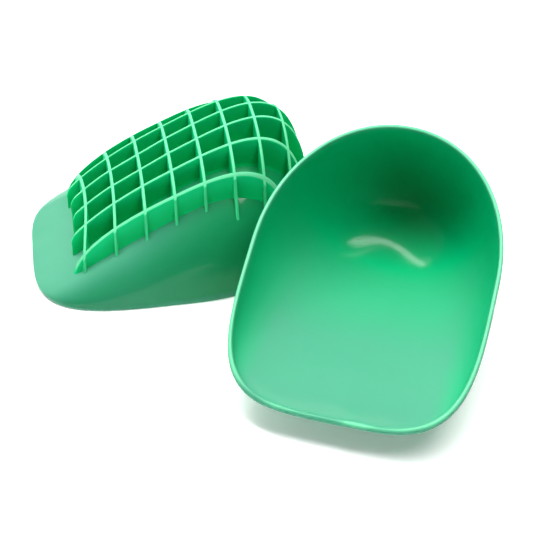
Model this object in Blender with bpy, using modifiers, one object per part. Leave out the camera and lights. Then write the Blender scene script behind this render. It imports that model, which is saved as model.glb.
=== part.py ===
"""A pair of moulded heel cups with a waffle sole, in metres, +Z up.

One cup stands on its sole. The other lies upturned on its rim beside it. Each cup is drawn in
its own mould frame: the rim is the plane z = 0, the bowl hangs below it, +Y points from the heel
to the toe, and the origin is on the centre line where the cup is widest. The ribs of the waffle
stand along the mould's Z. The pair is centred on the world's origin, on the plane z = 0.
"""

import math

import bmesh
import bpy
from mathutils import Vector

OBJECT_NAME = "waffle_heel_cups"

# The rim's outline: half of a superellipse round the heel, half of a squarer one round the toe.
CUP_WIDTH = 0.068
CUP_LENGTH = 0.0895
WIDEST_FROM_HEEL = 0.0427
HEEL_SQUARENESS = 2.05
TOE_SQUARENESS = 3.9
RIM_SLANT = math.radians(28.8)

# The bowl. Its floor is level when the cup stands, so it deepens from the toe to the heel. Its
# section is an ellipse towards the heel and the toe, and fuller towards the sides.
TOE_DEPTH = 0.0038
END_ROUNDNESS = 2.0
SIDE_ROUNDNESS = 2.5
SIDE_WALL = 0.0012
TOE_WALL = 0.0018
FLOOR_WALL = 0.0022

# The sole's envelope, which the ribs' tips follow.
SOLE_DROP = 0.0068
SOLE_DROP_GAIN = 0.07
SOLE_SIDE_INSET = 0.0030
SOLE_HEEL_INSET = 0.0024
SOLE_TOE_INSET = 0.0069
SOLE_HEEL_SQUARENESS = 2.2
SOLE_TOE_SQUARENESS = 3.14
SOLE_ROUNDNESS = 3.16
SOLE_FLAT = 0.0004

# The waffle. Its front end and the cross ribs near it bow towards the toe at their ends.
RIB_PITCH = 0.0087
RIB_THICKNESS = 0.0014
SIDE_BAND = 0.0118
TOE_BAND = 0.0174
HEEL_BAND = 0.0090
FRONT_BAND = 0.0128
FRONT_BOW = 0.0030
BOW_MIDDLE = 0.2
BOW_FADE = 0.012
FIN_OVERHANG = 0.0005
MESH_GAP = 0.0003

# Where the two cups lie.
STANDING_YAW = math.radians(162.65)
UPTURNED_YAW = math.radians(100.33)
PAIR_BEARING = math.radians(138.0)
PAIR_CLEARANCE = 0.0038
PAIR_STAGGER = -0.0036

# Fineness of the faceted surfaces.
ROUND_SEGMENTS = 40
BOWL_RINGS = 8
SOLE_RINGS = 9

SHELL_GREEN = (0.010, 0.330, 0.130, 1.0)
WAFFLE_GREEN = (0.060, 0.560, 0.250, 1.0)

HALF_WIDTH = CUP_WIDTH / 2
TO_TOE = CUP_LENGTH - WIDEST_FROM_HEEL
TO_HEEL = WIDEST_FROM_HEEL
BOWL_DEPTH = TOE_DEPTH + math.tan(RIM_SLANT) * TO_TOE
LONG_RIBS = 1 + math.floor((CUP_WIDTH - 2 * SIDE_BAND) / RIB_PITCH)
CROSS_RIBS = 1 + math.floor((CUP_LENGTH - TOE_BAND - HEEL_BAND) / RIB_PITCH)


def clear_scene():
    for obj in list(bpy.data.objects):
        bpy.data.objects.remove(obj, do_unlink=True)


def new_collection(name):
    collection = bpy.data.collections.new(name)
    bpy.context.scene.collection.children.link(collection)
    return collection


def elastomer(name, color, roughness):
    material = bpy.data.materials.new(name)
    material.use_nodes = True
    shader = material.node_tree.nodes["Principled BSDF"]
    shader.inputs["Base Color"].default_value = color
    shader.inputs["Roughness"].default_value = roughness
    shader.inputs["Metallic"].default_value = 0.0
    return material


def bowl_depth(y):
    """Depth of the bowl's outer floor under the rim's plane, before its sides curve up."""
    return BOWL_DEPTH - math.tan(RIM_SLANT) * y


def sole_depth(y):
    """Depth of the sole's envelope under the rim's plane, before its sides curve up."""
    return bowl_depth(y) + SOLE_DROP + SOLE_DROP_GAIN * y


def standing_depth():
    """Depth at y = 0 of the plane that the cup stands on, which trims the sole flat."""
    steps = 400
    deepest = 0.0
    for step in range(steps):
        y = (TO_TOE - SOLE_TOE_INSET) * (2 * step / steps - 1)
        reach = (TO_TOE - SOLE_TOE_INSET) if y > 0 else (TO_HEEL - SOLE_HEEL_INSET)
        if abs(y) < reach:
            rise = (1 - (abs(y) / reach) ** SOLE_ROUNDNESS) ** (1 / SOLE_ROUNDNESS)
            deepest = max(deepest, sole_depth(y) * rise + math.tan(RIM_SLANT) * y)
    return deepest - SOLE_FLAT


STANDING_DEPTH = standing_depth()


def outline_radius(direction, half_width, heel, toe, heel_power, toe_power):
    """Distance from the origin to a superellipse along a unit vector in the rim's plane."""
    reach, power = (toe, toe_power) if direction.y > 0 else (heel, heel_power)
    across = (abs(direction.x) / half_width) ** power
    along = (abs(direction.y) / reach) ** power
    return (across + along) ** (-1 / power)


def bowl_roundness(direction):
    """Power of the bowl's section along a unit vector in the rim's plane."""
    return END_ROUNDNESS + (SIDE_ROUNDNESS - END_ROUNDNESS) * direction.x**2


def sole_roundness(direction):
    """Power of the sole's section, the same all round."""
    return SOLE_ROUNDNESS


def dome(name, collection, rings, outline, roundness_at, depth_at, lid=0.0, floor=None):
    """A closed solid hanging from the rim's plane: the lower half of a sphere, remapped.

    outline is (half width, reach to heel, reach to toe, heel power, toe power). lid raises the
    flat top above the rim's plane. floor, where given, limits how deep each y may go.
    """
    mesh = bmesh.new()
    bmesh.ops.create_uvsphere(
        mesh, u_segments=ROUND_SEGMENTS, v_segments=2 * rings, radius=1.0
    )
    above = [vertex for vertex in mesh.verts if vertex.co.z > 1e-4]
    bmesh.ops.delete(mesh, geom=above, context="VERTS")
    for vertex in mesh.verts:
        flat = Vector((vertex.co.x, vertex.co.y))
        rise = 1.0
        if flat.length > 1e-6:
            direction = flat.normalized()
            roundness = roundness_at(direction)
            share = min(flat.length, 1.0) ** (2 / roundness)
            rise = max(-vertex.co.z, 0.0) ** (2 / roundness)
            flat = direction * share * outline_radius(direction, *outline)
        depth = depth_at(flat.y) * rise
        if floor is not None:
            depth = min(depth, floor(flat.y))
        vertex.co = (flat.x, flat.y, -depth)
    open_edges = [edge for edge in mesh.edges if edge.is_boundary]
    bmesh.ops.holes_fill(mesh, edges=open_edges, sides=0)
    if lid > 0:
        top = max(mesh.faces, key=lambda face: len(face.verts))
        raised = bmesh.ops.extrude_discrete_faces(mesh, faces=[top])["faces"]
        bmesh.ops.translate(mesh, vec=(0, 0, lid), verts=list(raised[0].verts))
        bmesh.ops.bridge_loops(mesh, edges=[edge for edge in mesh.edges if edge.is_boundary])
    bmesh.ops.recalc_face_normals(mesh, faces=mesh.faces)
    bmesh.ops.triangulate(mesh, faces=mesh.faces)
    return finish_mesh(name, collection, mesh)


def finish_mesh(name, collection, mesh):
    data = bpy.data.meshes.new(name)
    mesh.to_mesh(data)
    mesh.free()
    obj = bpy.data.objects.new(name, data)
    collection.objects.link(obj)
    return obj


def bowl_outline(side_inset, toe_inset):
    return (
        HALF_WIDTH - side_inset,
        TO_HEEL - side_inset,
        TO_TOE - toe_inset,
        HEEL_SQUARENESS,
        TOE_SQUARENESS,
    )


def rib_edges(first, count, before, after):
    """Both edges of each rib in a row, with an end before the first and after the last."""
    edges = [first - before]
    for index in range(count):
        centre = first + index * RIB_PITCH
        edges += [centre - RIB_THICKNESS / 2, centre + RIB_THICKNESS / 2]
    return edges + [edges[-1] + after]


def bow(x, y):
    """How far the waffle is shifted towards the toe at a place on it."""
    side = (LONG_RIBS - 1) / 2 * RIB_PITCH
    fade = math.exp(-(TO_TOE - FRONT_BAND - y) / BOW_FADE)
    return FRONT_BOW * fade * ((x / side) ** 2 - BOW_MIDDLE)


def waffle_grid(name, collection):
    """The crossed ribs as one flat grid with holes, as tall as the whole cup."""
    side = (LONG_RIBS - 1) / 2 * RIB_PITCH
    last_cross = TO_TOE - TOE_BAND - (CROSS_RIBS - 1) * RIB_PITCH
    across = rib_edges(-side, LONG_RIBS, RIB_THICKNESS / 2 + FIN_OVERHANG, FIN_OVERHANG)
    along = rib_edges(last_cross, CROSS_RIBS, RIB_PITCH + HEEL_BAND, 0)
    along[-1] = TO_TOE - FRONT_BAND
    mesh = bmesh.new()
    bmesh.ops.create_grid(
        mesh, x_segments=len(across) - 1, y_segments=len(along) - 1, size=0.5
    )
    for vertex in mesh.verts:
        column = round((vertex.co.x + 0.5) * (len(across) - 1))
        row = round((vertex.co.y + 0.5) * (len(along) - 1))
        vertex.co = (across[column], along[row], 0)
    holes = []
    for face in mesh.faces:
        centre = face.calc_center_median()
        in_long = any(
            across[i] < centre.x < across[i + 1] for i in range(1, len(across) - 1, 2)
        )
        in_cross = any(
            along[i] < centre.y < along[i + 1] for i in range(1, len(along) - 1, 2)
        )
        if not in_long and not in_cross:
            holes.append(face)
    bmesh.ops.delete(mesh, geom=holes, context="FACES")
    for vertex in mesh.verts:
        vertex.co.y += bow(vertex.co.x, vertex.co.y)
    grid = finish_mesh(name, collection, mesh)
    thick = grid.modifiers.new("rib_height", "SOLIDIFY")
    thick.thickness = 2 * (STANDING_DEPTH + math.tan(RIM_SLANT) * TO_HEEL)
    thick.offset = 0.0
    return grid


def add_boolean(obj, operation, other):
    modifier = obj.modifiers.new(other.name, "BOOLEAN")
    modifier.operation = operation
    modifier.solver = "EXACT"
    modifier.object = other


def make_cutter(obj, cup):
    obj.parent = cup
    obj.hide_render = True
    obj.display_type = "WIRE"


def make_shell(cup, parts, cutters, material):
    """The bowl: a flared scoop with an open top and a thin rim that lies in one plane."""
    shell = dome(
        cup.name + "_shell", parts, BOWL_RINGS, bowl_outline(0, 0), bowl_roundness, bowl_depth
    )
    hollow = dome(
        cup.name + "_hollow",
        cutters,
        BOWL_RINGS,
        bowl_outline(SIDE_WALL, TOE_WALL),
        bowl_roundness,
        lambda y: bowl_depth(y) - FLOOR_WALL,
        lid=FLOOR_WALL,
    )
    make_cutter(hollow, cup)
    add_boolean(shell, "DIFFERENCE", hollow)
    finish_part(shell, cup, material)


def make_waffle(cup, parts, cutters, material):
    """The waffle: crossed ribs trimmed by the sole's envelope below and by the bowl above."""
    waffle = waffle_grid(cup.name + "_waffle", parts)
    sole = dome(
        cup.name + "_sole",
        cutters,
        SOLE_RINGS,
        (
            HALF_WIDTH - SOLE_SIDE_INSET,
            TO_HEEL - SOLE_HEEL_INSET,
            TO_TOE - SOLE_TOE_INSET,
            SOLE_HEEL_SQUARENESS,
            SOLE_TOE_SQUARENESS,
        ),
        sole_roundness,
        sole_depth,
        floor=lambda y: STANDING_DEPTH - math.tan(RIM_SLANT) * y,
    )
    core = dome(
        cup.name + "_core",
        cutters,
        BOWL_RINGS,
        bowl_outline(-MESH_GAP, -MESH_GAP),
        bowl_roundness,
        lambda y: bowl_depth(y) + MESH_GAP,
        lid=FLOOR_WALL,
    )
    for cutter in (sole, core):
        make_cutter(cutter, cup)
    add_boolean(waffle, "DIFFERENCE", core)
    add_boolean(waffle, "INTERSECT", sole)
    finish_part(waffle, cup, material)


def finish_part(obj, cup, material):
    obj.parent = cup
    obj.data.materials.append(material)
    obj.data.shade_smooth()
    obj.data.set_sharp_from_angle(angle=math.radians(35))


def make_cup(name, rotation, parts, cutters):
    cup = bpy.data.objects.new(name, None)
    cup.empty_display_size = TO_HEEL
    cup.rotation_euler = rotation
    parts.objects.link(cup)
    shell_material = elastomer(name + "_shell_green", SHELL_GREEN, 0.28)
    waffle_material = elastomer(name + "_waffle_green", WAFFLE_GREEN, 0.38)
    make_shell(cup, parts, cutters, shell_material)
    make_waffle(cup, parts, cutters, waffle_material)
    return cup


def corners_of(cup):
    """Every corner of the cup's parts, in world space."""
    bpy.context.view_layer.update()
    graph = bpy.context.evaluated_depsgraph_get()
    corners = []
    for part in cup.children:
        if not part.hide_render:
            solid = part.evaluated_get(graph)
            corners += [solid.matrix_world @ vertex.co for vertex in solid.data.vertices]
    return corners


def place_pair(standing, upturned):
    """Rests both cups on z = 0, a clearance apart along the pair's bearing, and centres them."""
    along = Vector((math.cos(PAIR_BEARING), math.sin(PAIR_BEARING), 0))
    aside = Vector((-along.y, along.x, 0))
    reach = max(corner.dot(along) for corner in corners_of(standing))
    reach += max(corner.dot(-along) for corner in corners_of(upturned))
    standing.location.z = STANDING_DEPTH * math.cos(RIM_SLANT)
    upturned.location = along * (reach + PAIR_CLEARANCE) + aside * PAIR_STAGGER
    corners = corners_of(standing) + corners_of(upturned)
    for axis in (0, 1):
        middle = (
            min(corner[axis] for corner in corners) + max(corner[axis] for corner in corners)
        ) / 2
        standing.location[axis] -= middle
        upturned.location[axis] -= middle


def main():
    clear_scene()
    parts = new_collection(OBJECT_NAME)
    cutters = new_collection("cutters")
    standing = make_cup("upright_cup", (-RIM_SLANT, 0, STANDING_YAW), parts, cutters)
    upturned = make_cup("upturned_cup", (0, math.pi, UPTURNED_YAW), parts, cutters)
    place_pair(standing, upturned)


main()
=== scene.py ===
"""Visual model of a pair of waffle-soled elastomer heel cups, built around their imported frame.

Each cup is moulded in one frame of its own: the rim lies in the plane z = 0, the toe points along
+Y from the cup's widest place, and the bowl hangs below. The cups are then turned and put where
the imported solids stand. Lengths are in metres.
"""

import math
from types import SimpleNamespace

import bpy
import numpy as np
from bpy.props import FloatProperty, FloatVectorProperty, IntProperty, PointerProperty
from mathutils import Matrix, Vector


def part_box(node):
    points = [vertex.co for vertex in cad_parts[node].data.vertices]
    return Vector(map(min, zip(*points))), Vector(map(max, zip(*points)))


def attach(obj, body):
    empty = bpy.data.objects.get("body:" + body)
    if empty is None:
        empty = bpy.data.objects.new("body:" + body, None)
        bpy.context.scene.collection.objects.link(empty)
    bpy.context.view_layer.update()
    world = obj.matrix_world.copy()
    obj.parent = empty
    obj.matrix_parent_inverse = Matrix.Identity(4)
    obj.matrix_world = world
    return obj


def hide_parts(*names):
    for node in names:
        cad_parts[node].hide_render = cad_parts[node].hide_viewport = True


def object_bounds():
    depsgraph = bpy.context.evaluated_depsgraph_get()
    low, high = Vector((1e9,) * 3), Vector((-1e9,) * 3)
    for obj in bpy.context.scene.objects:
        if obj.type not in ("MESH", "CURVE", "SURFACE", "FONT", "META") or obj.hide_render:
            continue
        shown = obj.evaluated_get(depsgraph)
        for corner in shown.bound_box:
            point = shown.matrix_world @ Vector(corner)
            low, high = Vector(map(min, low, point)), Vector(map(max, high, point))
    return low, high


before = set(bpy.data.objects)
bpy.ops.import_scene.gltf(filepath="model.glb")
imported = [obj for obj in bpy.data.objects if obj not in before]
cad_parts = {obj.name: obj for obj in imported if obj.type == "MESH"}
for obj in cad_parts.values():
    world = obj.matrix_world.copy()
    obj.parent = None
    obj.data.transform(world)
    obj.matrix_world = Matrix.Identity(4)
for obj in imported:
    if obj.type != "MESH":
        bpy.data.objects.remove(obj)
CAD_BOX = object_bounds()

bl_info = {
    "name": "Heel Cup Pair",
    "version": (1, 0, 0),
    "blender": (4, 5, 0),
    "location": "View3D > Sidebar > Heel Cups",
    "description": "Builds a standing and an upturned heel cup with waffle soles",
    "category": "Add Mesh",
}

MILLIMETRE = 0.001
SMOOTH_BELOW = math.radians(38)

# How each cup lies: the body it rides on, and its turn from the moulded frame.
RIM_SLANT = math.radians(28.8)
STANDING_YAW = math.radians(162.65)
UPTURNED_YAW = math.radians(100.33)
CUPS = {
    "upright_cup": Matrix.Rotation(STANDING_YAW, 4, "Z") @ Matrix.Rotation(-RIM_SLANT, 4, "X"),
    "upturned_cup": Matrix.Rotation(UPTURNED_YAW, 4, "Z") @ Matrix.Rotation(math.pi, 4, "Y"),
}
HEEL_REACH = 0.0427
STANDING_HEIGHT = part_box("upright_cup_shell")[1].z - HEEL_REACH * math.sin(RIM_SLANT)

# The mesh of a bowl: points round the rim, and rings on each wall and over the rounded edge.
ROUND_POINTS = 224
WALL_RINGS = 48
EDGE_RINGS = 8

# The mesh of a rib: points round its section, steps that climb each side of it (after one that
# crosses half the root), and steps along the rib.
SECTION_POINTS = 40
SIDE_STEPS = 12
LENGTH_STEPS = 120

# The form of every rib: how its points crowd towards its root, how square its crest is, how nearly
# its ends come to an edge, how far its fillet spreads and how fast that fades, its least height
# above its root, and how far the foot of a fin stays inside the rim's outline.
CLIMB_POWER = 1.7
CREST_POWER = 0.66
END_ROUNDING = 0.96
FILLET_SPREAD = 0.6
FILLET_POWER = 2.5
LEAST_RIB = 0.1 * MILLIMETRE
FOOT_MARGIN = 3 * MILLIMETRE

# The uneven seat: its place as a share of the heel's reach, the shift of its waves as a share of
# their length, and how fast they fade towards the sides.
SEAT_WAVE_PLACE = 0.47
SEAT_WAVE_SHIFT = 0.12
SEAT_WAVE_FADE = 20

# How far from an edge its lighter tone reaches: the rim's painted highlight, a rib's crest's
# painted highlight and a rib's shoulder, below which painted shade takes over.
RIM_FADE = 0.8 * MILLIMETRE
CREST_FADE = 0.22 * MILLIMETRE
SHOULDER_FADE = 3 * MILLIMETRE

# Tones of a bowl's outside, painted shade on the walls and painted light by the toe, where the
# walls inside have 1, and those of a rib's shoulder and of the painted highlight on a fin's end,
# where the painted highlight on its crest has 1.
OUTER_WALL_SHADE = 0.15
OUTER_TOE_LIGHT = 1.7
SHOULDER_TONE = 0.5
FIN_END_HIGHLIGHT = 0.65

# The elastomer's unevenness, with the scale of each noise per metre, and how light goes in.
MOTTLE_SCALE = 90
MOTTLE_SHARE = 0.12
GLOSS_SCALE = 260
GLOSS_SWING = 0.06
WAVE_SCALE = 55
WAVE_HEIGHT = 0.6 * MILLIMETRE
WAVE_STRENGTH = 0.5
GRAIN_SCALE = 2600
GRAIN_HEIGHT = 0.02 * MILLIMETRE
GRAIN_STRENGTH = 0.4
REFRACTIVE_INDEX = 1.45
SCATTER_BY_CHANNEL = (0.6, 0.8, 0.8)

# The paper floor: half its width, and the scale and the darker share of its mottle.
FLOOR_HALF = 3.0
PAPER_SCALE = 40
PAPER_SHADE = 0.99

# Each lamp's place, its size, and its turn about its own axis in degrees.
LAMPS = {
    "strip": ((0.0, 0.2, 0.8), (1.2, 0.4), 0),
    "tube": ((0.0, -0.04, 0.6), (0.85, 0.12), -36),
    "back": ((-0.6, 0.5, 0.5), (0.7, 0.7), 0),
}


def length(name, text, default):
    return FloatProperty(
        name=name, description=text, default=default, min=0, unit="LENGTH", precision=4
    )


def plain(name, text, default):
    return FloatProperty(name=name, description=text, default=default, precision=3)


def colour(name, text, default):
    return FloatVectorProperty(
        name=name, description=text, default=default, size=3, min=0, max=1, subtype="COLOR"
    )


class CupSizes(bpy.types.PropertyGroup):
    """Sizes of the moulded cup."""

    half_width: length("Half width", "From the middle to the side of the rim", 0.034)
    heel_reach: length("Heel reach", "From the widest place back to the heel", HEEL_REACH)
    toe_reach: length("Toe reach", "From the widest place forward to the lip", 0.0468)
    heel_squareness: plain("Heel squareness", "Power of the rim outline behind", 2.05)
    toe_squareness: plain("Toe squareness", "Power of the rim outline in front", 3.9)
    rim_slant: FloatProperty(
        name="Rim slant",
        description="How far the rim leans from the floor of the bowl",
        default=RIM_SLANT,
        subtype="ANGLE",
    )
    toe_depth: length("Toe depth", "Depth of the bowl at the lip", 0.0038)
    end_roundness: plain("End roundness", "Power of the bowl's section to heel and toe", 2.0)
    side_roundness: plain("Side roundness", "Power of the bowl's section to the sides", 2.5)
    side_wall: length("Side wall", "Thickness of the wall at the sides", 0.0012)
    lip_ripple: length("Lip ripple", "How deep the rim ripples at the lip", 0.0004)
    ripple_length: length("Ripple length", "From one ripple of the lip to the next", 0.019)
    seat_wave: length("Seat wave", "How uneven the foot of the heel's wall is inside", 0.0007)
    seat_wave_length: length("Seat wave length", "From one of its waves to the next", 0.026)
    seat_wave_width: length("Seat wave width", "How far they reach to heel and toe", 0.007)
    toe_wall: length("Toe wall", "Thickness of the lip", 0.0018)
    floor_wall: length("Floor wall", "Thickness of the floor", 0.0022)
    sole_side_inset: length("Sole side inset", "From the rim in to the sole, at the side", 0.003)
    sole_heel_inset: length("Sole heel inset", "From the rim in to the sole, behind", 0.0024)
    sole_toe_inset: length("Sole toe inset", "From the lip back to the sole", 0.0069)
    sole_heel_squareness: plain("Sole heel squareness", "Power of its outline behind", 2.2)
    sole_toe_squareness: plain("Sole toe squareness", "Power of its outline in front", 3.14)
    sole_roundness: plain("Sole roundness", "Power of the sole's section", 3.16)
    sole_drop: length("Sole drop", "Height of the ribs under the bowl", 0.0068)
    sole_drop_gain: plain("Sole drop gain", "How much more they drop towards the toe", 0.07)
    standing_depth: length(
        "Standing depth",
        "Depth, at the widest place, of the plane that the sole stands on",
        STANDING_HEIGHT / math.cos(RIM_SLANT),
    )
    rib_pitch: length("Rib pitch", "From one rib to the next, both ways", 0.0087)
    rib_thickness: length("Rib thickness", "Thickness of a rib near its crest", 0.0009)
    rib_draft: length("Rib draft", "How much thicker a rib is at its root", 0.0005)
    root_fillet: length("Root fillet", "Radius where a rib leaves the bowl", 0.0006)
    root_depth: length("Root depth", "How deep a rib is rooted in the wall", 0.0009)
    long_ribs: IntProperty(name="Long ribs", description="Ribs from heel to toe", default=6)
    cross_ribs: IntProperty(name="Cross ribs", description="Ribs across the sole", default=8)
    first_cross_rib: length("First cross rib", "Its place in front of the widest one", 0.0294)
    fin_overhang: length("Fin overhang", "From the outer long rib to a fin's end", 0.0007)
    fin_foot: length("Fin foot", "How much further out the foot of a fin reaches", 0.0018)
    long_fin: length("Long fin", "How much further still that of the long fin does", 0.0035)
    long_fin_row: IntProperty(name="Long fin row", description="Which fin that is", default=5)
    front_band: length("Front band", "Smooth band between the lip and the ribs", 0.0128)
    front_bow: length("Front bow", "How far the outer ribs reach ahead of the others", 0.003)
    bow_middle: plain("Bow middle", "Share of the bow that lies behind the ribs' front", 0.2)
    bow_fade: length("Bow fade", "How far behind the front the cross ribs still bow", 0.012)
    front_corner: length("Front corner", "Radius at the front end of a long rib", 0.0018)


class ElastomerLook(bpy.types.PropertyGroup):
    """Colours of the moulded elastomer, with its painted light and shade, and its gloss."""

    # Painted shade, deep in the heel inside and on the walls outside.
    core: colour("Core", "Colour of the thick heel", (0.0, 0.19, 0.055))
    body: colour("Body", "Colour of the walls inside", (0.0, 0.41, 0.155))
    # Painted shade: a shaded copy of the body colour, for the walls outside.
    skin: colour("Skin", "Colour of the walls outside", (0.03, 0.22, 0.12))
    # Painted light and sheen on the floor towards the toe and on the outside of the toe.
    lit_pale: colour("Pale", "Colour of the thinner floor towards the toe", (0.07, 0.31, 0.195))
    # Painted highlight along the rim, the ribs' crests and the fins' ends.
    edge_highlight: colour("Thin", "Colour of edges that light comes through", (0.14, 0.58, 0.31))
    # Painted shade down in the pockets.
    deep: colour("Deep", "Colour down in the pockets", (0.0005, 0.46, 0.13))
    rib: colour("Rib", "Colour of the ribs near their crests", (0.004, 0.55, 0.2))
    roughness: plain("Roughness", "How matt the surface is", 0.42)
    coat: plain("Coat", "How much of a smooth skin the moulding has", 0.25)
    coat_roughness: plain("Coat roughness", "How matt that skin is", 0.14)
    specular: plain("Specular", "How strongly the bare surface reflects", 0.05)
    subsurface: plain("Subsurface", "How much light scatters inside", 0.3)
    scatter: length("Scatter", "How far that light travels", 0.002)


class StageSetup(bpy.types.PropertyGroup):
    """The floor, the lamps and the camera."""

    camera_pitch: FloatProperty(
        name="Camera pitch",
        description="How far the camera looks down",
        default=math.radians(36.39),
        subtype="ANGLE",
    )
    camera_distance: length("Camera distance", "From the camera to what it looks at", 0.3854)
    aim_right: length("Aim right", "What it looks at, right of the model's middle", 0.006)
    aim_back: length("Aim back", "What it looks at, behind the model's middle", 0.0167)
    lens: plain("Lens", "Focal length in millimetres", 84.25)
    floor: colour("Floor", "Colour of the floor", (0.97, 0.97, 0.97))
    floor_glow: plain("Floor glow", "Light that comes up through the floor", 0.2)
    bright_side: FloatVectorProperty(
        name="Bright side",
        description="Which way the brightest wall of the light tent is",
        default=(-0.6, 0.75, 0.3),
        size=3,
        subtype="DIRECTION",
    )
    bright_wall: plain("Bright wall", "Strength of the light from that wall", 0.85)
    dark_wall: plain("Dark wall", "Strength of the light from the wall opposite", 0.02)
    strip_power: plain("Strip power", "Power of the strip lamp overhead, in watts", 4.8)
    tube_power: plain("Tube power", "Power of the narrow tube overhead, in watts", 5.4)
    back_power: plain("Back power", "Power of the lamp behind on the left, in watts", 1.5)


class Field:
    """A value in a node tree that adds, multiplies and compares as a number does."""

    def __init__(self, socket):
        self.socket = socket

    def join(self, operation, *others):
        tree = self.socket.id_data
        node = tree.nodes.new("ShaderNodeMath")
        node.operation = operation
        for slot, value in zip(node.inputs, (self, *others)):
            if isinstance(value, Field):
                tree.links.new(value.socket, slot)
            else:
                slot.default_value = value
        return Field(node.outputs[0])

    def __add__(self, other):
        return self.join("ADD", other)

    def __mul__(self, other):
        return self.join("MULTIPLY", other)

    __radd__ = __add__
    __rmul__ = __mul__

    def __sub__(self, other):
        return self.join("SUBTRACT", other)

    def __rsub__(self, other):
        return self * -1 + other

    def __neg__(self):
        return self * -1

    def __truediv__(self, other):
        return self.join("DIVIDE", other)

    def __rtruediv__(self, other):
        return self**-1 * other

    def __pow__(self, power):
        return self.join("POWER", power)

    def __rpow__(self, base):
        return (self * math.log(base)).join("EXPONENT")

    def __abs__(self):
        return self.join("ABSOLUTE")

    def __gt__(self, other):
        return self.join("GREATER_THAN", other)


# The shape of a cup. These rules take numbers, numpy arrays or fields alike.


def positive(value):
    """The value, or 0 where it is below 0."""
    return (value + abs(value)) / 2


def lesser(a, b):
    return (a + b - abs(a - b)) / 2


def greater(a, b):
    return (a + b + abs(a - b)) / 2


def limited(value):
    """The value held between 0 and 1."""
    return lesser(positive(value), 1)


def rising(value, start, end):
    """0 up to the start, 1 from the end on, and evenly between them."""
    return limited((value - start) / (end - start))


def tangent(angle):
    return angle.join("TANGENT") if isinstance(angle, Field) else math.tan(angle)


def by_end(y, heel, toe):
    """The heel's value behind the widest place, and the toe's in front of it."""
    return heel + (toe - heel) * (y > 0)


def spread(x, y, half, reach, power):
    """0 in the middle of an outline and 1 on it, for its half width, reach and power there."""
    return ((abs(x) / half) ** power + (abs(y) / reach) ** power) ** (1 / power)


def floor_depth(sizes, y):
    """How far the floor of the bowl lies below the rim."""
    return sizes.toe_depth + tangent(sizes.rim_slant) * (sizes.toe_reach - y)


def bowl_roundness(sizes, x, y):
    """Power of the bowl's section in the direction of a place."""
    almost_nothing = 1e-12
    sideways = x * x / (x * x + y * y + almost_nothing)
    return sizes.end_roundness + (sizes.side_roundness - sizes.end_roundness) * sideways


def rim_outline(sizes, y):
    """(half width, reach, power) of the rim's outline at the end where y is."""
    return (
        sizes.half_width,
        by_end(y, sizes.heel_reach, sizes.toe_reach),
        by_end(y, sizes.heel_squareness, sizes.toe_squareness),
    )


def bowl_depth(sizes, x, y):
    """How far the outside of the bowl lies below the rim."""
    out = spread(x, y, *rim_outline(sizes, y))
    rounding = bowl_roundness(sizes, x, y)
    return floor_depth(sizes, y) * positive(1 - out**rounding) ** (1 / rounding)


def sole_outline(sizes, y):
    """(half width, reach, power) of the sole's outline at the end where y is."""
    heel = sizes.heel_reach - sizes.sole_heel_inset
    toe = sizes.toe_reach - sizes.sole_toe_inset
    return (
        sizes.half_width - sizes.sole_side_inset,
        by_end(y, heel, toe),
        by_end(y, sizes.sole_heel_squareness, sizes.sole_toe_squareness),
    )


def sole_depth(sizes, x, y):
    """How far the crests of the ribs lie below the rim."""
    out = spread(x, y, *sole_outline(sizes, y))
    drop = floor_depth(sizes, y) + sizes.sole_drop + sizes.sole_drop_gain * y
    rounding = sizes.sole_roundness
    dome = drop * positive(1 - out**rounding) ** (1 / rounding)
    return lesser(dome, sizes.standing_depth - tangent(sizes.rim_slant) * y)


def chord(across, half, reach, power):
    """Half the length of an outline, at a distance across from its middle line."""
    return reach * positive(1 - (abs(across) / half) ** power) ** (1 / power)


def outer_rib(sizes):
    """Where the outermost long rib stands."""
    return (sizes.long_ribs - 1) * sizes.rib_pitch / 2


def bow(sizes, x, y):
    """How far the waffle is shifted towards the toe at a place on it."""
    behind = sizes.toe_reach - sizes.front_band - y
    fade = math.e ** (-behind / sizes.bow_fade)
    return sizes.front_bow * fade * ((x / outer_rib(sizes)) ** 2 - sizes.bow_middle)


# Bowls


def outline_radius(sizes, angle, half, heel, toe):
    """Distance from the middle to an outline as square as the rim's, in each direction."""
    x = np.cos(angle)
    y = np.sin(angle)
    power = by_end(y, sizes.heel_squareness, sizes.toe_squareness)
    return 1 / spread(x, y, half, by_end(y, heel, toe), power)


def lip_ripple(sizes, x, y):
    """How far the edge of the lip dips at a place: two gentle ripples and one small step."""
    turn = 2 * np.pi * x / sizes.ripple_length
    long_ripple = 0.25 * np.sin(turn + 0.6)
    short_ripple = 0.15 * np.sin(1.7 * turn + 2)
    step = 0.35 * limited((x + 0.1 * sizes.half_width) / MILLIMETRE)
    on_lip = rising(y / sizes.toe_reach, 0.8, 0.95)
    return sizes.lip_ripple * on_lip * (0.2 + long_ripple + short_ripple + step)


def seat_wave(sizes, x, y):
    """How much deeper the inside is at a place, where the floor turns up into the heel."""
    away = (y + SEAT_WAVE_PLACE * sizes.heel_reach) / sizes.seat_wave_width
    turn = 2 * np.pi * (x / sizes.seat_wave_length - SEAT_WAVE_SHIFT)
    to_sides = np.exp(-((x / sizes.half_width) ** 4) * SEAT_WAVE_FADE)
    fade = np.exp(-(away**2) / 2) * to_sides
    return -sizes.seat_wave * np.cos(turn) * away * fade


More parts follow.
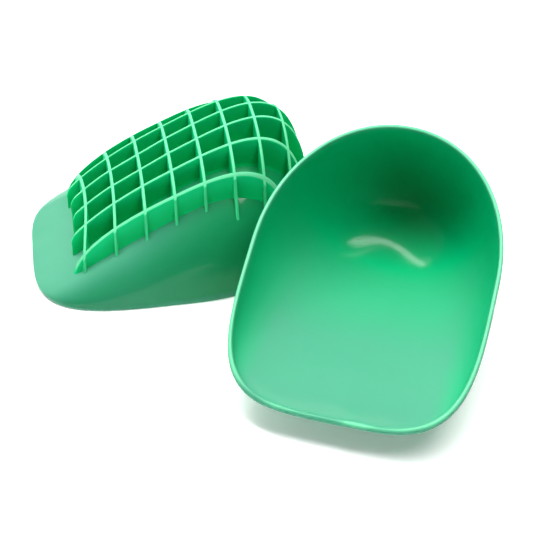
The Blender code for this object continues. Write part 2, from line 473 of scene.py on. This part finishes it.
def bowl_points(sizes):
    """Points of the bowl in rings, from the bottom up the outside, over the rim and down inside."""
    angle = np.arange(ROUND_POINTS) * 2 * np.pi / ROUND_POINTS
    outer = outline_radius(sizes, angle, sizes.half_width, sizes.heel_reach, sizes.toe_reach)
    inner = outline_radius(
        sizes,
        angle,
        sizes.half_width - sizes.side_wall,
        sizes.heel_reach - sizes.side_wall,
        sizes.toe_reach - sizes.toe_wall,
    )
    edge = (outer - inner) / 2
    rounding = bowl_roundness(sizes, np.cos(angle), np.sin(angle))
    rings = []

    def add_wall_ring(swing, outline, thickness):
        share = math.sin(swing) ** (2 / rounding)
        rise = max(math.cos(swing), 0) ** (2 / rounding)
        x = outline * share * np.cos(angle)
        y = outline * share * np.sin(angle)
        depth = edge + (floor_depth(sizes, y) - thickness - edge) * rise
        depth += lip_ripple(sizes, x, y) * (1 - rise)
        if thickness:
            depth += seat_wave(sizes, x, y)
        rings.append(np.stack([x, y, -depth], axis=1))

    swings = [math.pi / 2 * ring / WALL_RINGS for ring in range(1, WALL_RINGS + 1)]
    for swing in swings:
        add_wall_ring(swing, outer, 0)
    for ring in range(1, EDGE_RINGS):
        turn = math.pi * ring / EDGE_RINGS
        radius = (outer + inner) / 2 + edge * math.cos(turn)
        x = radius * np.cos(angle)
        y = radius * np.sin(angle)
        z = edge * (math.sin(turn) - 1) - lip_ripple(sizes, x, y)
        rings.append(np.stack([x, y, z], axis=1))
    for swing in reversed(swings):
        add_wall_ring(swing, inner, sizes.floor_wall)
    bottom = [0, 0, -floor_depth(sizes, 0)]
    seat = [0, 0, sizes.floor_wall - floor_depth(sizes, 0)]
    return np.concatenate([[bottom], *rings, [seat]])


def bowl_faces(count):
    """Faces between count rings, with a fan at each pole."""
    around = [(i, (i + 1) % ROUND_POINTS) for i in range(ROUND_POINTS)]
    last = count * ROUND_POINTS + 1
    faces = [(0, 1 + b, 1 + a) for a, b in around]
    for ring in range(count - 1):
        low = 1 + ring * ROUND_POINTS
        high = low + ROUND_POINTS
        faces += [(low + a, low + b, high + b, high + a) for a, b in around]
    top = last - ROUND_POINTS
    faces += [(last, top + a, top + b) for a, b in around]
    return faces


def bowl_painted_light(sizes, points, inside):
    """Painted light and shade as a tone: 1, a painted highlight, on the rim; 2/3, painted light, on
    the floor by the toe and outside it; 1/3 on the walls inside; less, painted shade, on the walls
    outside; 0, the darkest painted shade, deep in the heel.
    """
    x, y, z = points.T
    # Painted highlight along the rim.
    rim = np.exp(z / RIM_FADE)
    # The walls inside take the body colour; the walls outside take a painted shade.
    wall = np.where(inside, 1, OUTER_WALL_SHADE)
    forward = rising(y / sizes.toe_reach, -0.5, 0.4)
    inward = rising(-abs(x) / sizes.half_width, -0.98, -0.7)
    # Painted shade deep in the heel, behind the widest place and darker further down.
    behind = rising(-y / sizes.heel_reach, 0.2, 0.7)
    deep = rising(-z, 0, 30 * MILLIMETRE)
    heel = np.exp(-((x / (0.55 * sizes.half_width)) ** 2)) * behind * deep
    # Painted light and sheen on the outside of the toe, where light falls on it.
    lit_outer_toe = OUTER_TOE_LIGHT * forward**2 * greater(inward, 0.3)
    floor = np.where(inside, forward * inward - heel, lit_outer_toe)
    return greater(rim, positive(wall + floor) / 3)


# Waffle soles


def open_tree(sizes):
    """(tree, the sizes as fields, the identifier of each input) of a new waffle tree."""
    tree = bpy.data.node_groups.new("Waffle sole", "GeometryNodeTree")
    tree.is_modifier = True
    tree.interface.new_socket(name="Waffle", in_out="OUTPUT", socket_type="NodeSocketGeometry")
    kinds = {"FLOAT": "NodeSocketFloat", "INT": "NodeSocketInt"}
    keys = {}
    for key in CupSizes.__annotations__:
        rna = sizes.bl_rna.properties[key]
        socket = tree.interface.new_socket(
            name=rna.name, in_out="INPUT", socket_type=kinds[rna.type]
        )
        keys[key] = socket.identifier
    finish = tree.interface.new_socket(
        name="Finish", in_out="INPUT", socket_type="NodeSocketMaterial"
    )
    keys["finish"] = finish.identifier
    start = tree.nodes.new("NodeGroupInput")
    outputs = {socket.identifier: socket for socket in start.outputs}
    fields = {key: Field(outputs[identifier]) for key, identifier in keys.items()}
    return tree, SimpleNamespace(**fields), keys


def node_after(tree, kind, geometry, **inputs):
    """A node of the tree fed with a geometry. The inputs are fields or plain values."""
    node = tree.nodes.new(kind)
    if geometry is not None:
        tree.links.new(geometry, node.inputs[0])
    for name, value in inputs.items():
        slot = node.inputs[name.replace("_", " ")]
        if isinstance(value, Field):
            tree.links.new(value.socket, slot)
        else:
            slot.default_value = value
    return node


def keep_value(tree, geometry, name, value):
    """The geometry with a named value kept on its points."""
    node = node_after(tree, "GeometryNodeStoreNamedAttribute", geometry, Name=name, Value=value)
    return node.outputs[0]


def kept_value(tree, name):
    node = tree.nodes.new("GeometryNodeInputNamedAttribute")
    node.inputs["Name"].default_value = name
    return Field(node.outputs["Attribute"])


def place_of(tree):
    """(x, y, z) of a point as fields."""
    where = tree.nodes.new("GeometryNodeInputPosition")
    split = tree.nodes.new("ShaderNodeSeparateXYZ")
    tree.links.new(where.outputs[0], split.inputs[0])
    return [Field(socket) for socket in split.outputs]


def rib_blank(tree):
    """A closed bar whose points know where they belong on a rib.

    "across" runs from one side of the rib to the other, "rise" from its root to its shoulder,
    "crown" from the shoulder over the rounded crest, and "along" from end to end.
    """
    bar = node_after(
        tree,
        "GeometryNodeMeshCylinder",
        None,
        Vertices=SECTION_POINTS,
        Side_Segments=LENGTH_STEPS,
        Radius=MILLIMETRE,
        Depth=2 * MILLIMETRE,
    )
    x, y, z = place_of(tree)
    turn = abs(x).join("ARCTAN2", -y) / math.pi
    side = x.join("SIGN")
    step = 2 / SECTION_POINTS
    shoulder = step * (1 + SIDE_STEPS)
    swing = limited((turn - shoulder) / (1 - shoulder)) * (math.pi / 2)
    across = limited(turn / step) * positive(swing.join("COSINE")) ** CREST_POWER
    geometry = bar.outputs["Mesh"]
    geometry = keep_value(tree, geometry, "across", side * across)
    rise = limited((turn - step) / (shoulder - step)) ** CLIMB_POWER
    geometry = keep_value(tree, geometry, "rise", rise)
    crown = positive(swing.join("SINE")) ** CREST_POWER
    geometry = keep_value(tree, geometry, "crown", crown)
    return keep_value(tree, geometry, "along", z / MILLIMETRE)


def rib_row(tree, blank, count, first, pitch):
    """The blank repeated, each copy knowing its row."""
    line = node_after(tree, "GeometryNodeMeshLine", None, Count=count)
    index = Field(tree.nodes.new("GeometryNodeInputIndex").outputs[0])
    rows = keep_value(tree, line.outputs[0], "row", first + index * pitch)
    copies = node_after(tree, "GeometryNodeInstanceOnPoints", rows)
    tree.links.new(blank, copies.inputs["Instance"])
    real = node_after(tree, "GeometryNodeRealizeInstances", copies.outputs[0])
    return real.outputs[0]


def long_rib_line(sizes, row, sweep):
    """(x, y, gap to the nearer end) along the middle of the long rib that stands at x = row."""
    half, heel, heel_power = sole_outline(sizes, -1)
    _, toe, toe_power = sole_outline(sizes, 1)
    cut = sizes.toe_reach - sizes.front_band
    front = lesser(cut + bow(sizes, row, cut), chord(row, half, toe, toe_power))
    back = chord(row, half, heel, heel_power)
    run = (front - back) / 2 + sweep * (front + back) / 2
    return row, run, (front + back) / 2 * (1 - abs(sweep))


def cross_rib_line(sizes, row, sweep, rise):
    """The same for the cross rib at y = row, whose fins reach further out at their feet."""
    half, reach, power = sole_outline(sizes, row)
    free_end = outer_rib(sizes) + sizes.rib_thickness / 2 + sizes.fin_overhang
    span = lesser(free_end, chord(row, reach, half, power))
    from_long_fin = (row - sizes.first_cross_rib) / sizes.rib_pitch + sizes.long_fin_row
    foot_reach = sizes.fin_foot + sizes.long_fin * positive(1 - 2 * abs(from_long_fin))
    rim_half, rim_reach, rim_power = rim_outline(sizes, row)
    rim_side = chord(row, rim_reach, rim_half, rim_power)
    foot_reach = lesser(foot_reach, positive(rim_side - span - FOOT_MARGIN))
    run = -sweep * (span + foot_reach * (1 - rise))
    return run, row + bow(sizes, run, row), span * (1 - abs(sweep))


def root_and_crest(sizes, x, y, turned_down):
    """How deep a rib's root and its crest are at a place, the crest turned down by a length."""
    root = bowl_depth(sizes, x, y) - sizes.root_depth
    return root, greater(sole_depth(sizes, x, y) - turned_down, root + LEAST_RIB)


def rib_half_thickness(sizes, rise, height, end_gap, caged):
    """Half a rib's thickness, which grows to its root where it is caged and shrinks at its ends."""
    rounding = sizes.rib_thickness / 2
    foot = 1 - limited((height - sizes.root_depth) / sizes.root_fillet)
    fillet = sizes.root_fillet * FILLET_SPREAD * foot**FILLET_POWER
    flare = sizes.rib_draft / 2 * (1 - rise) + fillet
    end = positive(1 - END_ROUNDING * (1 - limited(end_gap / rounding)) ** 2) ** 0.5
    return (rounding + caged * flare) * end


def shape_ribs(tree, sizes, ribs, runs_across):
    """Bends each blank to its rib: rooted in the bowl, its crest on the sole's surface."""
    row = kept_value(tree, "row")
    sweep = (kept_value(tree, "along") * (math.pi / 2)).join("SINE")
    rise = kept_value(tree, "rise")
    rounding = sizes.rib_thickness / 2
    if runs_across:
        corner = rounding
        spine_x, spine_y, end_gap = cross_rib_line(sizes, row, sweep, rise)
        caged = limited((outer_rib(sizes) - abs(spine_x)) / MILLIMETRE)
    else:
        corner = sizes.front_corner
        spine_x, spine_y, end_gap = long_rib_line(sizes, row, sweep)
        caged = 1
    root, crest = root_and_crest(sizes, spine_x, spine_y, 0)
    half_thickness = rib_half_thickness(sizes, rise, rise * (crest - root), end_gap, caged)
    offset = kept_value(tree, "across") * half_thickness
    x = spine_x if runs_across else spine_x + offset
    y = spine_y + offset if runs_across else spine_y
    turned_down = 1 - positive(1 - (1 - limited(end_gap / corner)) ** 2) ** 0.5
    root, crest = root_and_crest(sizes, x, y, corner * turned_down)
    cap = lesser(rounding, (crest - root) / 2)
    depth = root + rise * (crest - root - cap) + kept_value(tree, "crown") * cap
    joined = tree.nodes.new("ShaderNodeCombineXYZ")
    for slot, value in zip(joined.inputs, (x, y, -depth)):
        tree.links.new(value.socket, slot)
    moved = node_after(tree, "GeometryNodeSetPosition", ribs)
    tree.links.new(joined.outputs[0], moved.inputs["Position"])
    return moved.outputs[0]


def waffle_tree(sizes):
    """(tree, input identifiers): both rows of ribs, joined into one closed piece."""
    tree, inputs, keys = open_tree(sizes)
    blank = rib_blank(tree)
    long_row = rib_row(tree, blank, inputs.long_ribs, -outer_rib(inputs), inputs.rib_pitch)
    cross_row = rib_row(
        tree, blank, inputs.cross_ribs, inputs.first_cross_rib, -inputs.rib_pitch
    )
    union = tree.nodes.new("GeometryNodeMeshBoolean")
    union.operation = "UNION"
    union.solver = "MANIFOLD"
    for row, runs_across in ((long_row, False), (cross_row, True)):
        ribs = shape_ribs(tree, inputs, row, runs_across)
        tree.links.new(ribs, union.inputs["Mesh 2"])
    smooth = node_after(tree, "GeometryNodeSetShadeSmooth", union.outputs["Mesh"])
    real = node_after(tree, "GeometryNodeRealizeInstances", smooth.outputs[0])
    painted = node_after(
        tree, "GeometryNodeSetMaterial", real.outputs[0], Material=inputs.finish
    )
    end = tree.nodes.new("NodeGroupOutput")
    tree.links.new(painted.outputs[0], end.inputs[0])
    return tree, keys


def waffle_mesh(sizes, finish):
    """The waffle sole as a plain mesh in the moulded frame."""
    holder = bpy.data.objects.new("waffle_blank", bpy.data.meshes.new("waffle_blank"))
    bpy.context.scene.collection.objects.link(holder)
    modifier = holder.modifiers.new("Waffle sole", "NODES")
    tree, keys = waffle_tree(sizes)
    modifier.node_group = tree
    for key, identifier in keys.items():
        modifier[identifier] = finish if key == "finish" else getattr(sizes, key)
    shown = holder.evaluated_get(bpy.context.evaluated_depsgraph_get())
    mesh = bpy.data.meshes.new_from_object(shown)
    bpy.data.objects.remove(holder)
    bpy.data.node_groups.remove(tree)
    for name in ("across", "rise", "crown", "along", "row"):
        mesh.attributes.remove(mesh.attributes[name])
    return mesh


def waffle_painted_light(sizes, points):
    """Painted light and shade as a tone: a painted highlight of 1 on the crests and along the fins'
    free ends, falling to 0, painted shade, in the pockets.
    """
    x, y, z = points.T
    below = positive(sole_depth(sizes, x, y) + z)
    # Painted highlight on the crests.
    crest = np.exp(-((below / CREST_FADE) ** 2))
    # The shoulders keep the rib's colour, falling to painted shade in the pockets.
    shoulder = SHOULDER_TONE * np.exp(-((below / SHOULDER_FADE) ** 2))
    rows = (sizes.first_cross_rib - y + bow(sizes, x, y)) / sizes.rib_pitch
    on_fin = abs(rows - np.round(rows)) * sizes.rib_pitch < 0.8 * sizes.rib_thickness
    past_rib = abs(x) - outer_rib(sizes) - (sizes.rib_thickness + sizes.rib_draft) / 2
    # Painted highlight along the fins' free ends.
    fin_end_highlight = FIN_END_HIGHLIGHT * on_fin * limited(past_rib / (0.4 * sizes.fin_overhang))
    return greater(greater(crest, shoulder), fin_end_highlight)


# Finishing a piece


def points_of(mesh):
    points = np.empty(len(mesh.vertices) * 3)
    mesh.vertices.foreach_get("co", points)
    return points.reshape(-1, 3)


def keep_on_points(mesh, name, values):
    """Keeps a value on each point, for the finish to read."""
    layer = mesh.attributes.new(name, "FLOAT", "POINT")
    layer.data.foreach_set("value", np.ascontiguousarray(values, np.float32))


def cup_place(cup, points):
    """The matrix that puts the moulded cup where its packed shell is."""
    turn = CUPS[cup]
    turned = points @ np.array(turn.to_3x3()).T
    lowest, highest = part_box(f"{cup}_shell")
    middle = (lowest + highest) / 2 - Vector((turned.min(0) + turned.max(0)) / 2)
    middle.z = STANDING_HEIGHT if cup == "upright_cup" else 0
    return Matrix.Translation(middle) @ turn


def add_piece(name, mesh, place, cup, node):
    """Puts a finished mesh in the scene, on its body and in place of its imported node."""
    mesh = mesh.copy()
    mesh.name = name
    mesh.transform(place)
    mesh.shade_smooth()
    mesh.set_sharp_from_angle(angle=SMOOTH_BELOW)
    piece = bpy.data.objects.new(name, mesh)
    bpy.context.scene.collection.objects.link(piece)
    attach(piece, cup)
    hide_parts(node)


# Finishes


def shader_nodes(material):
    """(node tree, its Principled shader) of a material with nodes."""
    material.use_nodes = True
    tree = material.node_tree
    return tree, tree.nodes["Principled BSDF"]


def kept_on_points(tree, name):
    node = tree.nodes.new("ShaderNodeAttribute")
    node.attribute_name = name
    return node.outputs["Fac"]


def noise(tree, scale, detail, coordinates):
    node = tree.nodes.new("ShaderNodeTexNoise")
    node.inputs["Scale"].default_value = scale
    node.inputs["Detail"].default_value = detail
    tree.links.new(coordinates, node.inputs["Vector"])
    return node.outputs["Fac"]


def mix_colour(tree, factor, first, second):
    node = tree.nodes.new("ShaderNodeMix")
    node.data_type = "RGBA"
    tree.links.new(factor, node.inputs["Factor"])
    for slot, value in ((node.inputs[6], first), (node.inputs[7], second)):
        if isinstance(value, bpy.types.NodeSocket):
            tree.links.new(value, slot)
        else:
            slot.default_value = (*value, 1)
    return node.outputs[2]


def graded(tree, value, *tones):
    """Tones spread evenly over the value, from 0 to 1."""
    node = tree.nodes.new("ShaderNodeValToRGB")
    tree.links.new(value, node.inputs["Fac"])
    stops = node.color_ramp.elements
    for index in range(1, len(tones) - 1):
        stops.new(index / (len(tones) - 1))
    for stop, tone in zip(stops, tones):
        stop.color = (*tone, 1)
    return node.outputs["Color"]


def ramp(tree, value, low, high, start=0.0, end=1.0):
    """The value between start and end, stretched to run from low to high."""
    node = tree.nodes.new("ShaderNodeMapRange")
    tree.links.new(value, node.inputs["Value"])
    for name, number in (("From Min", start), ("From Max", end), ("To Min", low), ("To Max", high)):
        node.inputs[name].default_value = number
    return node.outputs[0]


def bump(tree, height, distance, strength, normal=None):
    node = tree.nodes.new("ShaderNodeBump")
    node.inputs["Strength"].default_value = strength
    node.inputs["Distance"].default_value = distance
    tree.links.new(height, node.inputs["Height"])
    if normal is not None:
        tree.links.new(normal, node.inputs["Normal"])
    return node.outputs[0]


def elastomer(name, look, tones, outer_tones, coat):
    """Soft green elastomer with painted light and shade from a tone kept on its points, its outside
    a shaded copy, faintly mottled, with a moulded gloss.
    """
    material = bpy.data.materials.new(name)
    tree, shader = shader_nodes(material)
    place = tree.nodes.new("ShaderNodeTexCoord").outputs["Object"]
    # The tone of painted light and shade kept on the points, from painted shade at 0 to a painted
    # highlight at 1.
    thinness = kept_on_points(tree, "thinness")
    tone = graded(tree, thinness, *tones)
    # Outside, a shaded copy of the tones paints shade on the walls.
    if outer_tones != tones:
        outer_tone = graded(tree, thinness, *outer_tones)
        tone = mix_colour(tree, kept_on_points(tree, "inside"), outer_tone, tone)
    mottle = ramp(tree, noise(tree, MOTTLE_SCALE, 3, place), 0, MOTTLE_SHARE)
    tree.links.new(mix_colour(tree, mottle, tone, tones[1]), shader.inputs["Base Color"])
    smoothest = look.roughness - GLOSS_SWING
    roughest = look.roughness + GLOSS_SWING
    gloss = ramp(tree, noise(tree, GLOSS_SCALE, 4, place), smoothest, roughest)
    tree.links.new(gloss, shader.inputs["Roughness"])
    waves = bump(tree, noise(tree, WAVE_SCALE, 1, place), WAVE_HEIGHT, WAVE_STRENGTH)
    fine = noise(tree, GRAIN_SCALE, 2, place)
    grain = bump(tree, fine, GRAIN_HEIGHT, GRAIN_STRENGTH, waves)
    tree.links.new(grain, shader.inputs["Normal"])
    shader.inputs["IOR"].default_value = REFRACTIVE_INDEX
    shader.inputs["Specular IOR Level"].default_value = look.specular
    shader.inputs["Coat Weight"].default_value = coat
    shader.inputs["Coat Roughness"].default_value = look.coat_roughness
    shader.inputs["Subsurface Weight"].default_value = look.subsurface
    shader.inputs["Subsurface Scale"].default_value = look.scatter
    shader.inputs["Subsurface Radius"].default_value = SCATTER_BY_CHANNEL
    return material


def floor_finish(stage):
    """Matt white paper that glows a little, as it does with light under it."""
    material = bpy.data.materials.new("backdrop_paper")
    tree, shader = shader_nodes(material)
    place = tree.nodes.new("ShaderNodeTexCoord").outputs["Object"]
    shaded = [PAPER_SHADE * channel for channel in stage.floor]
    shade = mix_colour(tree, noise(tree, PAPER_SCALE, 3, place), stage.floor, shaded)
    tree.links.new(shade, shader.inputs["Base Color"])
    shader.inputs["Roughness"].default_value = 0.9
    shader.inputs["Emission Color"].default_value = (1, 1, 1, 1)
    shader.inputs["Emission Strength"].default_value = stage.floor_glow
    return material


# The stage


def aim(thing, target):
    """Points a lamp or a camera at a place."""
    thing.rotation_euler = (Vector(target) - thing.location).to_track_quat("-Z", "Y").to_euler()


def add_softbox(name, place, size, spin, power):
    """A rectangular lamp aimed at the middle of the floor, turned about its own axis."""
    lamp = bpy.data.lights.new(name, "AREA")
    lamp.shape = "RECTANGLE"
    lamp.size, lamp.size_y = size
    lamp.energy = power
    softbox = bpy.data.objects.new(name, lamp)
    softbox.location = place
    bpy.context.scene.collection.objects.link(softbox)
    aim(softbox, (0, 0, 0))
    softbox.rotation_euler.rotate_axis("Z", math.radians(spin))


def add_floor(stage):
    half = FLOOR_HALF
    corners = [(-half, -half, 0), (half, -half, 0), (half, half, 0), (-half, half, 0)]
    mesh = bpy.data.meshes.new("paper_floor")
    mesh.from_pydata(corners, [], [(0, 1, 2, 3)])
    mesh.materials.append(floor_finish(stage))
    floor = bpy.data.objects.new("paper_floor", mesh)
    bpy.context.scene.collection.objects.link(floor)


def light_room(stage):
    """A white light tent, brightest on one side and darker away from it."""
    world = bpy.data.worlds.new("light_tent")
    world.use_nodes = True
    tree = world.node_tree
    way = tree.nodes.new("ShaderNodeTexCoord").outputs["Generated"]
    facing = tree.nodes.new("ShaderNodeVectorMath")
    facing.operation = "DOT_PRODUCT"
    tree.links.new(way, facing.inputs[0])
    facing.inputs[1].default_value = Vector(stage.bright_side).normalized()
    strength = ramp(tree, facing.outputs["Value"], stage.dark_wall, stage.bright_wall, -0.3, 1)
    tree.links.new(strength, tree.nodes["Background"].inputs["Strength"])
    tree.nodes["Background"].inputs["Color"].default_value = (1, 1, 1, 1)
    bpy.context.scene.world = world


def add_camera(stage):
    lowest, highest = CAD_BOX
    middle = (lowest + highest) / 2
    target = Vector((middle.x + stage.aim_right, middle.y + stage.aim_back, 0))
    back = Vector((0, -math.cos(stage.camera_pitch), math.sin(stage.camera_pitch)))
    camera = bpy.data.objects.new("camera", bpy.data.cameras.new("camera"))
    camera.data.lens = stage.lens
    camera.data.clip_start = 0.01
    camera.location = target + back * stage.camera_distance
    camera.rotation_euler = (math.pi / 2 - stage.camera_pitch, 0, 0)
    bpy.context.scene.collection.objects.link(camera)
    bpy.context.scene.camera = camera


# Operators


class HEELCUPS_OT_bowls(bpy.types.Operator):
    """Moulds both bowls with their rounded rims"""

    bl_idname = "heelcups.bowls"
    bl_label = "Mould the Bowls"

    def execute(self, context):
        sizes = context.scene.heel_cup_sizes
        look = context.scene.heel_cup_look
        points = bowl_points(sizes)
        mesh = bpy.data.meshes.new("bowl")
        rings = (len(points) - 2) // ROUND_POINTS
        mesh.from_pydata(points.tolist(), [], bowl_faces(rings))
        # Tones from painted shade through the body colour and painted light to a painted highlight;
        # the outside takes a shaded copy.
        tones = (look.core, look.body, look.lit_pale, look.edge_highlight)
        outer_tones = (look.core, look.skin, look.lit_pale, look.edge_highlight)
        finish = elastomer("shell_elastomer", look, tones, outer_tones, look.coat)
        mesh.materials.append(finish)
        inside = np.arange(len(points)) > len(points) / 2
        keep_on_points(mesh, "thinness", bowl_painted_light(sizes, points, inside))
        keep_on_points(mesh, "inside", inside)
        for cup in CUPS:
            place = cup_place(cup, points)
            add_piece(f"{cup}_bowl", mesh, place, cup, f"{cup}_shell")
        bpy.data.meshes.remove(mesh)
        return {"FINISHED"}


class HEELCUPS_OT_waffles(bpy.types.Operator):
    """Moulds the waffle sole of both cups from two crossing rows of ribs"""

    bl_idname = "heelcups.waffles"
    bl_label = "Mould the Waffle Soles"

    def execute(self, context):
        sizes = context.scene.heel_cup_sizes
        look = context.scene.heel_cup_look
        # Tones from painted shade in the pockets through the rib colour to a painted highlight on
        # the crests.
        tones = (look.deep, look.rib, look.edge_highlight)
        finish = elastomer("waffle_elastomer", look, tones, tones, 0)
        mesh = waffle_mesh(sizes, finish)
        if not mesh.polygons:
            raise RuntimeError("the ribs of the waffle sole did not join")
        keep_on_points(mesh, "thinness", waffle_painted_light(sizes, points_of(mesh)))
        shell = bowl_points(sizes)
        for cup in CUPS:
            place = cup_place(cup, shell)
            name = f"{cup}_waffle_sole"
            add_piece(name, mesh, place, cup, f"{cup}_waffle")
        bpy.data.meshes.remove(mesh)
        return {"FINISHED"}


class HEELCUPS_OT_stage(bpy.types.Operator):
    """Lays the floor, hangs the lamps and sets the camera"""

    bl_idname = "heelcups.stage"
    bl_label = "Set the Stage"

    def execute(self, context):
        stage = context.scene.heel_cup_stage
        add_floor(stage)
        light_room(stage)
        for name, (place, size, spin) in LAMPS.items():
            add_softbox(f"{name}_lamp", place, size, spin, getattr(stage, f"{name}_power"))
        add_camera(stage)
        context.scene.view_settings.view_transform = "Standard"
        return {"FINISHED"}


class HEELCUPS_PT_build(bpy.types.Panel):
    """Lists the steps and the sizes that they use"""

    bl_idname = "HEELCUPS_PT_build"
    bl_label = "Heel Cups"
    bl_space_type = "VIEW_3D"
    bl_region_type = "UI"
    bl_category = "Heel Cups"

    def draw(self, context):
        layout = self.layout
        for operator in OPERATORS:
            layout.operator(operator.bl_idname)
        for group in GROUPS:
            box = layout.box()
            box.label(text=group)
            held = getattr(context.scene, group)
            for key in GROUPS[group].__annotations__:
                box.prop(held, key)


OPERATORS = (HEELCUPS_OT_bowls, HEELCUPS_OT_waffles, HEELCUPS_OT_stage)
GROUPS = {
    "heel_cup_sizes": CupSizes,
    "heel_cup_look": ElastomerLook,
    "heel_cup_stage": StageSetup,
}
CLASSES = (*GROUPS.values(), *OPERATORS, HEELCUPS_PT_build)


def register():
    for cls in CLASSES:
        bpy.utils.register_class(cls)
    for name, group in GROUPS.items():
        setattr(bpy.types.Scene, name, PointerProperty(type=group))


def unregister():
    for name in GROUPS:
        delattr(bpy.types.Scene, name)
    for cls in reversed(CLASSES):
        bpy.utils.unregister_class(cls)


def main():
    register()
    bpy.ops.heelcups.bowls()
    bpy.ops.heelcups.waffles()
    bpy.ops.heelcups.stage()


if __name__ == "__main__":
    main()
